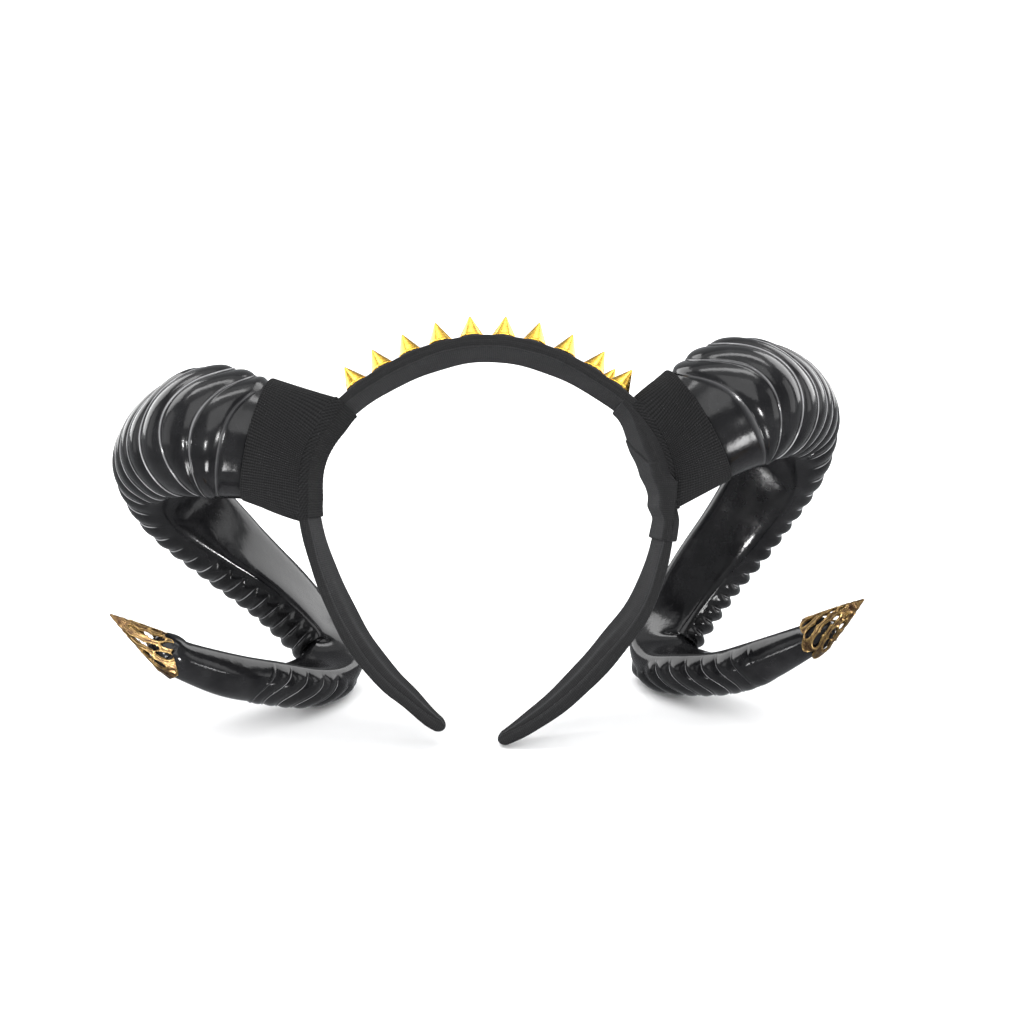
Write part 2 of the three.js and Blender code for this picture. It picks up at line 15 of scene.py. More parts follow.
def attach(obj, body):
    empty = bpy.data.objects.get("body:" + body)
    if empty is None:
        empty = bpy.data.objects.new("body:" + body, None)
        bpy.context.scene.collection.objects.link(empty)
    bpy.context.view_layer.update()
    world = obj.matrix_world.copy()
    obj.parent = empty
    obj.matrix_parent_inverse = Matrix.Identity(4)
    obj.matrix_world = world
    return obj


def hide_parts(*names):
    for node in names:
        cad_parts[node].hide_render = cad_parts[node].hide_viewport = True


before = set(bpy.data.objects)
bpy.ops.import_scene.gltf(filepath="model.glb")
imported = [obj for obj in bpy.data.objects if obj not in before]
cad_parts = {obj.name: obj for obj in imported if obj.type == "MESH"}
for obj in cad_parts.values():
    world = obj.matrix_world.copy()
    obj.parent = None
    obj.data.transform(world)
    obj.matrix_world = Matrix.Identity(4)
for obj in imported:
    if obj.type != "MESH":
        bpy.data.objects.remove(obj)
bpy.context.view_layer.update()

# How the headband rests, and its real size against the laid-out sizes
REST_LEAN_DEG = 14.43
REST_ROLL_DEG = 1.4
SIZE = 0.985
# The settled headband's middle and lowest point before it is set on the floor
SETTLED_AT = np.array([-3.7036, 17.1972, -88.9388])
MM = 0.001

# Gap between layers, thickness of the knit, room round the horn
GAP = 0.35
KNIT = 1.5
ROOM = 0.5
# Knit ribs: pitch, height, slant where the knit is wound round the hoop
KNIT_PITCH = 1.08
KNIT_RISE = 0.32
KNIT_SLANT_DEG = 35
WRAP_CORNER = 1.7
# How far inside the hoop's outer face the sleeve's skin starts, its ribs and the points of
# one rib, its half depth at the hoop, and the radius of its rolled edge at the cuff
SLEEVE_START = 1.6
SLEEVE_RIBS = 128
RIB_POINTS = 6
SLEEVE_HALF_DEPTH = 12.75
CUFF_ROLL = 0.7

# Band: rings along it, corner radius, length over which its ends draw in
BAND_RINGS = 900
BAND_CORNER = 1.1
BAND_TIP = 3.0

# Hoop: front outer rim x and up, width front to back, inward drop of the rear rim, wall
HOOP_MID_Y = 4.0
HOOP = np.array([
    (-16.8, -88.4, 6.5, 3.2, 2.2), (-22.6, -84.8, 9.5, 4.0, 2.6), (-30.0, -78.6, 12.5, 5.0, 2.8),
    (-38.9, -71.2, 15.0, 5.9, 3.0), (-49.0, -59.1, 17.0, 6.4, 3.0), (-58.0, -42.0, 19.0, 5.6, 3.0),
    (-64.6, -22.8, 20.5, 4.0, 3.0), (-68.0, -4.0, 22.0, 2.8, 3.0), (-66.8, 12.0, 22.0, 2.8, 3.0),
    (-59.4, 26.0, 22.0, 3.4, 3.0), (-46.4, 38.4, 22.0, 4.2, 3.3), (-27.4, 49.4, 22.0, 5.0, 3.6),
    (-9.0, 54.8, 22.0, 5.2, 3.6), (9.0, 54.8, 22.0, 5.2, 3.6), (27.4, 49.4, 22.0, 5.0, 3.6),
    (46.4, 37.8, 22.0, 4.2, 3.3), (59.8, 25.0, 22.0, 3.4, 3.0), (67.2, 10.0, 22.0, 2.8, 3.0),
    (67.8, -6.0, 21.5, 2.8, 3.0), (65.2, -24.6, 20.5, 4.0, 3.2), (59.0, -43.8, 19.0, 5.6, 3.5),
    (47.6, -60.4, 17.0, 6.4, 4.1), (31.7, -76.8, 14.0, 5.8, 4.0), (17.4, -87.0, 11.0, 4.6, 3.3),
    (4.9, -93.1, 6.5, 3.2, 2.2),
])

# Horn: out, back, up from the cuff's middle, half section beside and towards the curl,
# and the share of its side's droop
HORN = np.array([
    (0.0, 0.0, 0.0, 21.6, 21.4, 0), (14.7, 3.0, 6.0, 24.2, 23.6, 0), (24.5, 10.0, 6.2, 22.0, 21.0, 0),
    (32.1, 22.0, 5.0, 19.6, 18.2, 0), (36.6, 36.0, 0.6, 18.0, 16.2, 0), (32.2, 50.0, -13.7, 16.6, 15.0, 0),
    (15.1, 60.0, -34.7, 14.6, 13.4, 0), (-2.0, 65.0, -53.2, 13.3, 12.2, 0),
    (-14.8, 65.0, -69.1, 12.7, 11.4, 0), (-22.5, 60.0, -79.9, 12.2, 10.9, 0),
    (-20.3, 50.0, -86.4, 10.9, 9.8, 0), (-11.3, 37.0, -88.9, 10.3, 9.3, 0),
    (2.4, 23.0, -86.7, 9.4, 8.7, 1), (14.9, 10.0, -83.7, 8.5, 8.1, 1),
])
# The curl's axis behind and below the cuff's middle
CURL_BACK = 32.0
CURL_UP = -48.0
INNER_FACE_SHARE = 0.8
SEAT_ACROSS = 12.6
SEAT_DEEP = 20.4
# Rounded end in the cap: share of the cap's length from its rim, how much smaller than its bore
HORN_END = np.array([(-0.22, 0.64), (0.0, 0.5), (0.14, 0.4), (0.24, 0.8), (0.31, 2.2)])
# Each side's place; turn: how far the smooth face turns towards the hoop at each horn row
SIDES = {
    "left": dict(
        sign=-1, seat=(58.0, 4, 11.0), cuff=(82.4, 4, 17.6), lift=(-12.1, -2.4), yaw=-9.2, pitch=-2.6,
        droop=0.0, turn=(0, 0, 10, 30, 55, 72, 62, 50, 42, 30, 15, 5, 0, 0),
        rim=(112.6, -9.5, -58.2), point=(131.2, -19.5, -43.6), wrap=(-10.6, 32.8), rim_tilt=0.3,
        end_rise=0.8, beads=1.0, bulge=(0.0, 1.2), last=240.0,
    ),
    "right": dict(
        sign=1, seat=(56.0, 4, 12.4), cuff=(76.0, 4, 22.2), lift=(9.5, 5.2), yaw=-4.7, pitch=-1.1,
        droop=2.8, turn=(0, 0, 10, 30, 50, 52, 32, 22, 18, 12, 6, 0, 0, 0),
        rim=(116.6, -10.0, -51.0), point=(129.8, -27.0, -38.0), wrap=(-6.8, 31.8), rim_tilt=0.03,
        end_rise=0.0, beads=1.45, bulge=(1.1, 0.0), last=252.0,
    ),
}

# How far inside the cuff the horn starts; its first crest, in mm from the seat
INSIDE_CUFF = 2.5
RIB_FIRST = 35.0
# Pitch, swell and crest heights along the horn
RIB_PITCH = np.array([
    (35, 6.6), (52, 6.8), (62, 8.0), (84, 7.6), (100, 6.9), (140, 6.5), (190, 6.4), (215, 7.4), (250, 8.6),
])
RIB_SWELL = np.array([
    (35, 1.3), (60, 1.5), (90, 1.4), (130, 1.9), (185, 2.0), (205, 1.3), (225, 0.9), (250, 0.4),
])
RIB_CREST = np.array([
    (35, 0.4), (50, 0.72), (130, 0.72), (160, 0.62), (190, 0.62), (210, 0.75), (235, 0.7), (250, 0.2),
])
# Where the rings of one rib lie, as shares of its pitch
RIB_SHARES = (0, 0.02, 0.045, 0.08, 0.14, 0.23, 0.34, 0.46, 0.58, 0.7, 0.8, 0.88, 0.93, 0.96, 0.98)
# How far the crests run back towards the root on the outer side: along the horn, by how much
RIB_LAG = np.array([
    (24, 0), (35, 10), (45, 10), (65, 12), (90, 9), (130, 6), (180, 4), (205, -7), (235, -9), (262, 0),
])
RIB_LAG_AT_DEG = 205
RIB_LAG_WIDTH_DEG = 48
# Depth of the smooth inner face, as a share of the section's half depth
FLAT_FACE_SHARE = 0.7

# Smooth strip on the inside of the right sleeve
STRIP = 1.0
STRIP_LOW = -18.6
STRIP_TURN = -7.6
STRIP_HIGH = 34.5

# Studs
STUD_FRONT_SHARE = 0.25
STUD_X = [-46.9, -37.8, -27.8, -16.9, -5.7, 5.9, 16.9, 27.7, 38.1, 47.3]
STUD_BEHIND_X = 43.4
STUD_BEHIND_SHARE = 0.74

# Caps
CAP_WALL = 0.8
CAP_RIM_RADIUS = 6.8
CAP_LOBE_RADIUS = 7.2
CAP_LOBE_SHARE = 0.2
CAP_HOLLOW_SHARE = 0.88
CAP_LOBES = 6
# How far the openings wind round the cap from its rim to its point, in turns
CAP_SWIRL = 0.12
# Openings: along the cap, length, width, how many, turned by a share of their step
CAP_LEAVES = [
    (0.12, 6.0, 2.5, 9, 0.0), (0.33, 5.6, 2.3, 8, 0.5), (0.52, 4.8, 1.8, 6, 0.25), (0.67, 3.2, 1.2, 5, 0.6),
]


def settle(points):
    """Roll about y, lean about x, scale, then set on the floor about the middle, in metres."""
    roll = math.radians(REST_ROLL_DEG)
    lean = -math.radians(REST_LEAN_DEG)
    about_y = np.array([[math.cos(roll), 0, math.sin(roll)], [0, 1, 0], [-math.sin(roll), 0, math.cos(roll)]])
    about_x = np.array([[1, 0, 0], [0, math.cos(lean), -math.sin(lean)], [0, math.sin(lean), math.cos(lean)]])
    turn = SIZE * about_x @ about_y
    return (np.asarray(points, float) @ turn.T - SETTLED_AT) * MM


def unit(v):
    """Each vector divided by its length."""
    return v / np.linalg.norm(v, axis=-1, keepdims=True)


def smooth(x, low, high):
    """Zero below low, one above high, an S between them."""
    s = np.clip((x - low) / (high - low), 0, 1)
    return s * s * (3 - 2 * s)


def through(rows, t):
    """Catmull-Rom curve through equally spaced rows, at shares t of its run."""
    rows = np.asarray(rows, float)
    padded = np.vstack([2 * rows[0] - rows[1], rows, 2 * rows[-1] - rows[-2]])
    span = np.clip(t, 0, 1) * (len(rows) - 1)
    i = np.minimum(span.astype(int), len(rows) - 2)
    f = (span - i)[:, None]
    a, b, c, d = (padded[i + k] for k in range(4))
    return 0.5 * (2 * b + (c - a) * f + (2 * a - 5 * b + 4 * c - d) * f**2 + (3 * b - 3 * c + d - a) * f**3)


def surface(name, points, uv=None, ends=(True, True), rise=None):
    """Closed tube through rings of points: points is (rings, columns, 3) and the columns join up.
    An end that is True closes with a fan to the ring's middle. uv is (rings, columns + 1, 2).
    rise is a value per point, kept as an attribute for the material, which paints a highlight where it is
    high."""
    rings, columns = points.shape[:2]
    verts = points.reshape(-1, 3)
    i, j = np.meshgrid(np.arange(rings - 1), np.arange(columns), indexing="ij")
    after = (j + 1) % columns
    near, far = i * columns, (i + 1) * columns
    quads = np.stack([near + j, near + after, far + after, far + j], -1)
    faces = quads.reshape(-1, 4).tolist()
    if uv is not None:
        corners = np.stack([uv[i, j], uv[i, j + 1], uv[i + 1, j + 1], uv[i + 1, j]], -2).reshape(-1, 2)
    tips = []
    for closes, ring in zip(ends, (0, rings - 1)):
        if not closes:
            continue
        tip = len(verts) + len(tips)
        tips.append(points[ring].mean(0))
        first = ring * columns + np.arange(columns)
        second = ring * columns + (np.arange(columns) + 1) % columns
        order = (second, first) if ring == 0 else (first, second)
        faces += np.stack([order[0], order[1], np.full(columns, tip)], -1).tolist()
        if uv is not None:
            low, high = uv[ring, :-1], uv[ring, 1:]
            pair = (high, low) if ring == 0 else (low, high)
            corners = np.vstack([corners, np.stack([pair[0], pair[1], (low + high) / 2], -2).reshape(-1, 2)])
    verts = np.vstack([verts] + [np.array(tips)] * bool(tips))
    piece = finish_mesh(name, verts, faces, None if uv is None else corners)
    if rise is not None:
        values = np.zeros(len(verts), np.float32)
        values[: rise.size] = rise.ravel()
        piece.data.attributes.new("rise", "FLOAT", "POINT").data.foreach_set("value", values)
    return piece


def finish_mesh(name, verts, faces, corners=None):
    """Object from vertices and faces, turned outwards, smooth, with its own UV map in metres."""
    verts = np.asarray(verts)
    volume = 0.0
    for k in range(1, 3):
        rows = [face for face in faces if len(face) > k + 1]
        tri = np.array([(face[0], face[k], face[k + 1]) for face in rows])
        if len(tri):
            a, b, c = (verts[tri[:, corner]] for corner in range(3))
            volume += np.einsum("ij,ij->i", a, np.cross(b, c)).sum()
    mesh = bpy.data.meshes.new(name)
    mesh.from_pydata(verts.tolist(), [], faces)
    if corners is not None:
        layer = mesh.uv_layers.new(name="UVMap")
        layer.data.foreach_set("uv", np.asarray(corners, np.float32).ravel())
    if volume < 0:
        mesh.flip_normals()
    mesh.polygons.foreach_set("use_smooth", np.ones(len(faces), bool))
    mesh.update()
    piece = bpy.data.objects.new(name, mesh)
    bpy.context.scene.collection.objects.link(piece)
    return piece


def dress(piece, material, slot, *nodes):
    """Gives a piece its material and says which solids it stands for; slot is not used."""
    piece.data.materials.clear()
    piece.data.materials.append(material)
    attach(piece, "root")
    if nodes:
        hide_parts(*nodes)
    return piece


# ---------------------------------------------------------------- hoop
def hoop_at(t):
    """Rim, run, across, inward, width and wall of the band at shares t of its run."""
    t = np.asarray(t, float)
    values = through(HOOP, t)
    step = 1e-3
    ahead = through(HOOP, np.minimum(t + step, 1))[:, :2]
    behind = through(HOOP, np.maximum(t - step, 0))[:, :2]
    slope = unit(ahead - behind)
    zero = np.zeros(len(t))
    run = np.stack([slope[:, 0], zero, slope[:, 1]], -1)
    inside = np.stack([slope[:, 1], zero, -slope[:, 0]], -1)
    wide, drop, thick = values[:, 2], values[:, 3], values[:, 4]
    across = inside * drop[:, None]
    across[:, 1] += np.sqrt(wide**2 - drop**2)
    across = unit(across)
    inward = unit(np.cross(across, run))
    inward *= np.sign(np.einsum("ij,ij->i", inward, inside))[:, None]
    rim = np.stack([values[:, 0], HOOP_MID_Y - wide / 2, values[:, 1]], -1)
    return rim, run, across, inward, wide, thick


def hoop_lengths(t):
    """Length along the band's middle from its left end to each of the shares t."""
    rim, _, across, _, wide, _ = hoop_at(t)
    middle = rim + across * wide[:, None] / 2
    return np.concatenate([[0], np.cumsum(np.linalg.norm(np.diff(middle, axis=0), axis=1))])


def hoop_share(sign, height):
    """Share of the run at which the rim reaches a height on one side."""
    t = np.linspace(0, 0.5, 2000) if sign < 0 else np.linspace(1, 0.5, 2000)
    return float(np.interp(height, through(HOOP, t)[:, 1], t))


def crown_share(x):
    """Share of the run at which the rim reaches x, on the crown."""
    t = np.linspace(7 / 24, 18 / 24, 4000)
    return float(np.interp(x, through(HOOP, t)[:, 0], t))


def band_ring(flat, thin, arc):
    """Rounded rectangle taken apart: where each point lies between the corners' middles
    (-1 to 1 each way) and which way it faces there. The ring starts in the middle of the
    outer side and runs towards the rear rim."""
    along = np.linspace(-1, 1, flat + 1)
    up = np.linspace(-1, 1, thin + 1)
    quarter = np.linspace(0, math.pi / 2, arc + 2)[1:-1]
    parts = []
    # outer side, rear rim, inner side, front rim: (u, v, facing u, facing v)
    for side, start in enumerate((-math.pi / 2, 0, math.pi / 2, math.pi)):
        edge = (along, up, along[::-1], up[::-1])[side]
        fixed = (-1, 1, 1, -1)[side]
        ones = np.ones(len(edge))
        u, v = (edge, fixed * ones) if side % 2 == 0 else (fixed * ones, edge)
        parts.append(np.stack([u, v, math.cos(start) * ones, math.sin(start) * ones], -1))
        ones = np.ones(len(quarter))
        corner = {0: (1, -1), 1: (1, 1), 2: (-1, 1), 3: (-1, -1)}[side]
        turn = start + quarter
        parts.append(np.stack([corner[0] * ones, corner[1] * ones, np.cos(turn), np.sin(turn)], -1))
    ring = np.vstack(parts)
    return np.roll(ring, -(flat // 2), axis=0)


def band_points(t, ring, low, high, out, into, radius, lift=None):
    """Points of a band-shaped skin. low, high: reach across past the front and the rear rim;
    out, into: reach past the outer and the inner face; lift: extra height along the facing."""
    rim, _, across, inward, wide, thick = hoop_at(t)
    u0 = (-low * np.ones(len(t)))[:, None]
    u1 = (wide + high)[:, None]
    v0 = (-out * np.ones(len(t)))[:, None]
    v1 = (thick + into)[:, None]
    radius = np.minimum(np.minimum(radius, (u1 - u0) / 2), (v1 - v0) / 2)
    u = (u0 + u1) / 2 + ring[:, 0] * ((u1 - u0) / 2 - radius) + radius * ring[:, 2]
    v = (v0 + v1) / 2 + ring[:, 1] * ((v1 - v0) / 2 - radius) + radius * ring[:, 3]
    if lift is not None:
        u = u + lift * ring[:, 2]
        v = v + lift * ring[:, 3]
    return rim[:, None] + across[:, None] * u[..., None] + inward[:, None] * v[..., None], u, v


def ring_lengths(points):
    """Length round each ring from its first point, with the closing step added at the end."""
    closed = np.concatenate([points, points[:, :1]], 1)
    steps = np.linalg.norm(np.diff(closed, axis=1), axis=2)
    return np.concatenate([np.zeros((len(points), 1)), np.cumsum(steps, 1)], 1)


def band_uv(points, lengths):
    """UV in metres: length round the ring, length along the run."""
    around = ring_lengths(points)
    return np.stack([around, np.repeat(lengths[:, None], around.shape[1], 1)], -1) * MM


def make_band():
    """Cloth band of the hoop: rounded rectangle carried along the rim curve, both ends
    drawn in to a rounded tip, with a fold line along the front edge of the inner face and
    small puckers."""
    t = np.linspace(0, 1, BAND_RINGS)
    ring = band_ring(44, 6, 4)
    lengths = hoop_lengths(t)
    total = lengths[-1]
    _, u, _ = band_points(t, ring, 0, 0, 0, 0, BAND_CORNER)
    inner = smooth(ring[:, 1], 0.4, 0.9)[None]
    _, _, _, _, wide, _ = hoop_at(t)
    s = lengths[:, None]
    # fold a little behind the front edge, seen on the inner face
    fold = np.exp(-(((u - 2.9) / 0.32) ** 2)) * inner * -0.28
    turned = smooth(3.2 - u, 0, 0.6) * inner * 0.22
    pucker = 0.10 * np.sin(s * 1.9 + 2.0 * np.sin(s * 0.31)) * np.exp(-(((u - 3.6) / 1.2) ** 2)) * inner
    slack = 0.16 * np.sin(s * 0.23 + u * 0.21) * np.sin(s * 0.071 + 1.3) * (np.abs(ring[:, 1]) > 0.99)[None]
    # ridge down the middle of each lower branch
    branch = smooth(np.abs(s - total / 2), total * 0.30, total * 0.40)
    ridge = 0.9 * np.exp(-(((u - wide[:, None] * 0.42) / (wide[:, None] * 0.16)) ** 2)) * branch * inner
    points, _, _ = band_points(t, ring, 0, 0, 0, 0, BAND_CORNER, fold + turned + pucker + slack + ridge)
    left = np.clip(s / BAND_TIP, 0, 1)
    right = np.clip((total - s) / BAND_TIP, 0, 1)
    draw = np.sqrt(np.clip(1 - (1 - np.minimum(left, right)) ** 2, 1e-4, 1))[..., None]
    middle = points.mean(1, keepdims=True)
    points = middle + (points - middle) * draw
    return surface("headband_cloth", settle(points), band_uv(points, lengths))


def knit_ridges(across, pitch):
    """Height of rounded knit ribs, from 0 in the grooves to 1: the square root of a
    rectified sine."""
    return np.sqrt(np.abs(np.sin(np.pi * across / pitch)))


def make_wrap(name, side):
    """Knit wound round the hoop: band section grown by the knit and thinned out at both
    ends, with its ribs laid over at a slant to the run."""
    shares = sorted(hoop_share(side["sign"], height) for height in side["wrap"])
    t = np.linspace(shares[0], shares[1], 260)
    ring = band_ring(84, 10, 6)
    lengths = hoop_lengths(t)
    reach = GAP + KNIT - KNIT_RISE
    base, _, _ = band_points(t, ring, reach, reach, reach, reach, WRAP_CORNER)
    around = ring_lengths(base)[:, :-1]
    slant = math.radians(KNIT_SLANT_DEG)
    phase = around * math.cos(slant) - lengths[:, None] * side["sign"] * math.sin(slant)
    edge = np.minimum(lengths, lengths[-1] - lengths)
    rounded = np.sqrt(np.clip(1 - (1 - np.clip(edge / 0.8, 0, 1)) ** 2, 0, 1))
    draw = 0.25 * rounded + 0.75 * smooth(edge, 0, 9)
    ridges = knit_ridges(phase, KNIT_PITCH)
    lift = KNIT_RISE * ridges - (1 - draw[:, None]) * (KNIT - 0.2)
    points, _, _ = band_points(t, ring, reach, reach, reach, reach, WRAP_CORNER, lift)
    # the rib heights go to the material, which paints the rib tops lighter as a painted highlight
    return surface(name, settle(points), band_uv(points, lengths), rise=ridges)


def make_strip():
    """Smooth strip: laid up the inside of the right wrap, wound round the hoop below it."""
    t = np.linspace(hoop_share(1, STRIP_HIGH), hoop_share(1, STRIP_LOW), 320)
    ring = band_ring(60, 12, 16)
    heights = through(HOOP, t)[:, 1][:, None]
    lengths = hoop_lengths(t)
    over = GAP + KNIT + GAP + STRIP
    # how far the strip stands over the knit: all of it above, none below the turn
    above = smooth(heights, STRIP_TURN - 4, STRIP_TURN + 2)
    full = 3.0 * smooth(heights, -4, 8) * smooth(STRIP_HIGH - heights, 2, 16)
    skin_height = GAP + STRIP + (over - GAP - STRIP) * above
    inner = ring[:, 1][None]
    # 1 where the ring faces inwards, -1 where it faces out, 0.5 and -0.5 at the corners' starts
    turned_in = (ring[:, 1] + ring[:, 3])[None] / 2
    border = 0.8 - 1.25 * (1 - smooth(heights, -7, 8))
    facing_in = smooth(turned_in, border - 0.08, border + 0.08)
    # above the turn the strip covers the inside only: elsewhere it sinks under the knit
    sink = -(over - 0.1) * above * (1 - facing_in)
    lift = skin_height + sink + full * facing_in - 0.2
    edge = np.minimum(lengths, lengths[-1] - lengths)
    draw = np.sqrt(np.clip(1 - (1 - np.clip(edge / 0.9, 0, 1)) ** 2, 0, 1))[:, None]
    crease = 0.22 * np.sin(lengths[:, None] * 0.5 + 1.1) * np.sin(0.35 * inner * 9)
    _, u, _ = band_points(t, ring, 0.2, 0.2, 0.2, 0.2, 1.6)
    fold = 0.6 * smooth(11.7 + 0.64 * u - heights, -0.2, 0.2) * above * facing_in
    lift = ((lift + fold) * (0.35 + 0.65 * smooth(lengths[:, None], 0, 12)) + crease * facing_in) * draw
    points, _, _ = band_points(t, ring, 0.2, 0.2, 0.2, 0.2, 1.6, lift)
    return surface("strip_right_cloth", settle(points), band_uv(points, lengths))


# ---------------------------------------------------------------- horns
def cap_bore(along):
    """Inner radius of the cap at a share of its length from the rim."""
    rim = CAP_RIM_RADIUS - CAP_WALL
    if along < 0:
        return rim + (CAP_LOBE_RADIUS - CAP_RIM_RADIUS) * -along / CAP_LOBE_SHARE
    return rim * (1 - along / CAP_HOLLOW_SHARE)


def turned(a, b, angle):
    """A pair of coordinates turned by an angle, from the first axis towards the second."""
    return a * np.cos(angle) - b * np.sin(angle), a * np.sin(angle) + b * np.cos(angle)


def horn_rows(side):
    """Middle line and half sections of one horn: seat, moulded curve turned to its place
    (yaw, then pitch, then a lift that changes along the horn), and the end in the cap."""
    seat, cuff = np.array(side["seat"], float), np.array(side["cuff"], float)
    at = HORN[:, :3].copy()
    yaw, pitch = math.radians(side["yaw"]), math.radians(side["pitch"])
    lift = np.radians(np.linspace(*side["lift"], len(HORN)))
    x, y = turned(at[:, 0], at[:, 1], yaw)
    y, z = turned(y, at[:, 2], pitch)
    x, z = turned(x, z, lift)
    z = z - side["droop"] * HORN[:, 5]
    curve = np.column_stack([np.stack([x, y, z], -1) + cuff, HORN[:, 3:5], side["turn"]])
    mid = [*((seat + cuff) / 2), (SEAT_ACROSS + HORN[0, 3]) / 2 + 2, 21.0, 0]
    rim, point = np.array(side["rim"]), np.array(side["point"])
    end = []
    for along, clear in HORN_END:
        rise = side["end_rise"] * (1 - smooth(along, 0.1, 0.3))
        radius = cap_bore(along) - clear + rise
        end.append([*(rim + (point - rim) * along + [0, 0, rise]), radius, radius, 0])
    rows = np.vstack([[*seat, SEAT_ACROSS, SEAT_DEEP, 0], mid, curve, end])
    rows[:, 0] *= side["sign"]
    return rows


def horn_at(rows, side, t):
    """Middle, run, direction to the curl, direction beside it, and half sections at shares t."""
    values = through(rows, t)
    step = 2e-3
    run = unit(through(rows, np.minimum(t + step, 1))[:, :3] - through(rows, np.maximum(t - step, 0))[:, :3])
    cuff = side["cuff"]
    curl = np.array([0, cuff[1] + CURL_BACK, cuff[2] + CURL_UP]) - values[:, :3]
    curl[:, 0] = 0
    curl -= run * np.einsum("ij,ij->i", curl, run)[:, None]
    curl = unit(curl)
    beside = unit(np.cross(run, curl))
    turn = np.radians(values[:, 5:6]) * side["sign"]
    curl, beside = curl * np.cos(turn) + beside * np.sin(turn), beside * np.cos(turn) - curl * np.sin(turn)
    return values[:, :3], run, curl, beside, values[:, 3], values[:, 4]


def horn_lengths(rows, t):
    """Length along the horn's middle line from its seat to each of the shares t."""
    fine = np.linspace(0, 1, 4001)
    middle = through(rows, fine)[:, :3]
    lengths = np.concatenate([[0], np.cumsum(np.linalg.norm(np.diff(middle, axis=0), axis=1))])
    return np.interp(t, fine, lengths), lengths[-1]


def rib_rows(start, total, beads, last):
    """Rings of the horn, each as its length at the side of the section and its swell and
    crest heights. Rings bunch up at each crest, so that it stays thin and sharp."""
    rows = [(length, 0.0, 0.0) for length in np.arange(start, RIB_FIRST - 1.0, 1.1)]
    edge = RIB_FIRST
    while edge < last:
        pitch = float(np.interp(edge, *RIB_PITCH.T))
        fuller = float(np.interp(edge, (100, 140, 195, 215), (1, beads, beads, 1)))
        high = float(np.interp(edge, *RIB_SWELL.T)) * fuller
        for share in RIB_SHARES:
            swell = math.sin(math.pi * share**0.8) ** 0.75 if 0 < share < 1 else 0.0
            near = min(share, 1 - share) * pitch
            crest = float(np.interp(edge, *RIB_CREST.T)) * math.exp(-((near / 0.26) ** 2))
            rows.append((edge + share * pitch, high * swell, crest))
        edge += pitch
    rows += [(length, 0.0, 0.0) for length in np.arange(edge + 0.8, total - 3, 1.1)]
    rows += [(length, 0.0, 0.0) for length in np.linspace(total - 2.4, total, 5)]
    return np.array(rows)


def rib_lag(length, angle, sign):
    """How far a ring lags towards the root, in mm, by its length and the angle round the
    section: a bell centred on the outer side, nothing near either end of the horn."""
    turned = angle if sign < 0 else 2 * math.pi - angle
    bell = np.exp(-(((np.degrees(turned) - RIB_LAG_AT_DEG) / RIB_LAG_WIDTH_DEG) ** 2))
    return np.interp(length, *RIB_LAG.T) * bell


def horn_section(facing, across, deep, flat):
    """D-shaped section: an ellipse on the outer side; on the inner side the depth rises
    fast from the edge and stays level, which leaves a smooth flattened face."""
    inner = 1 - (1 - np.clip(facing, 0, 1)) ** 2.6
    depth = np.where(facing > 0, (1 - flat) * facing + flat * FLAT_FACE_SHARE * inner, facing)
    return depth * deep, across


def make_horn(name, side):
    """Horn: D-shaped section carried along the curl, with rings that follow the ribs and
    rise with them on the outer side."""
    rows = horn_rows(side)
    fine = np.linspace(0, 1, 3001)
    lengths, total = horn_lengths(rows, fine)
    parts = horn_at(rows, side, fine)
    table = np.column_stack([part if part.ndim > 1 else part[:, None] for part in parts])
    cuff = float(np.interp(2 / (len(rows) - 1), fine, lengths))
    rings = rib_rows(cuff - INSIDE_CUFF, total, side["beads"], side["last"])
    angle = np.linspace(0, 2 * math.pi, 128, endpoint=False)
    s = rings[:, :1] - rib_lag(rings[:, :1], angle[None], side["sign"])
    values = np.stack([np.interp(s, lengths, column) for column in table.T], -1)
    at, curl, beside = values[..., :3], unit(values[..., 6:9]), unit(values[..., 9:12])
    across, deep = values[..., 12], values[..., 13]
    facing = np.cos(angle)[None] * np.ones_like(s)
    hoop_side = np.clip(np.sin(angle) * side["sign"], 0, 1)[None]
    # ribs leave the hoop's side free on the rear strand, and run right round before it
    rear = smooth(s, 92, 120) * smooth(215 - s, 0, 25)
    reach = 0.42 + 0.54 * (1 - smooth(s, 62, 92))
    outer = smooth(-facing - 0.75 * hoop_side * rear, -reach, -reach + 0.42)
    outer *= smooth(s, cuff + 0.8, cuff + 4.5)
    lift = (rings[:, 1:2] + rings[:, 2:3]) * outer
    flat = smooth(s, 40, 90)
    # drawn in under the cuff
    tuck = 1.3 * smooth(cuff + 0.6 - s, 0, 2.6)
    u, width = horn_section(facing, across - tuck, deep - tuck, flat)
    u = u + lift * np.cos(angle)
    v = np.sin(angle) * (width + lift)
    points = at + curl * u[..., None] + beside * v[..., None]
    around = ring_lengths(points)
    uv = np.stack([around, np.repeat(rings[:, :1], around.shape[1], 1)], -1) * MM
    # share for the material, which paints the crests pale grey as a painted highlight
    crest = rings[:, 2:3] / rings[:, 2].max() * smooth(outer, 0.3, 1.0)
    laid = settle(points)
    # the bends rest on the floor: their ribs are flattened there
    laid[..., 2] = np.maximum(laid[..., 2], 0)
    return surface(name, laid, uv, rise=crest)


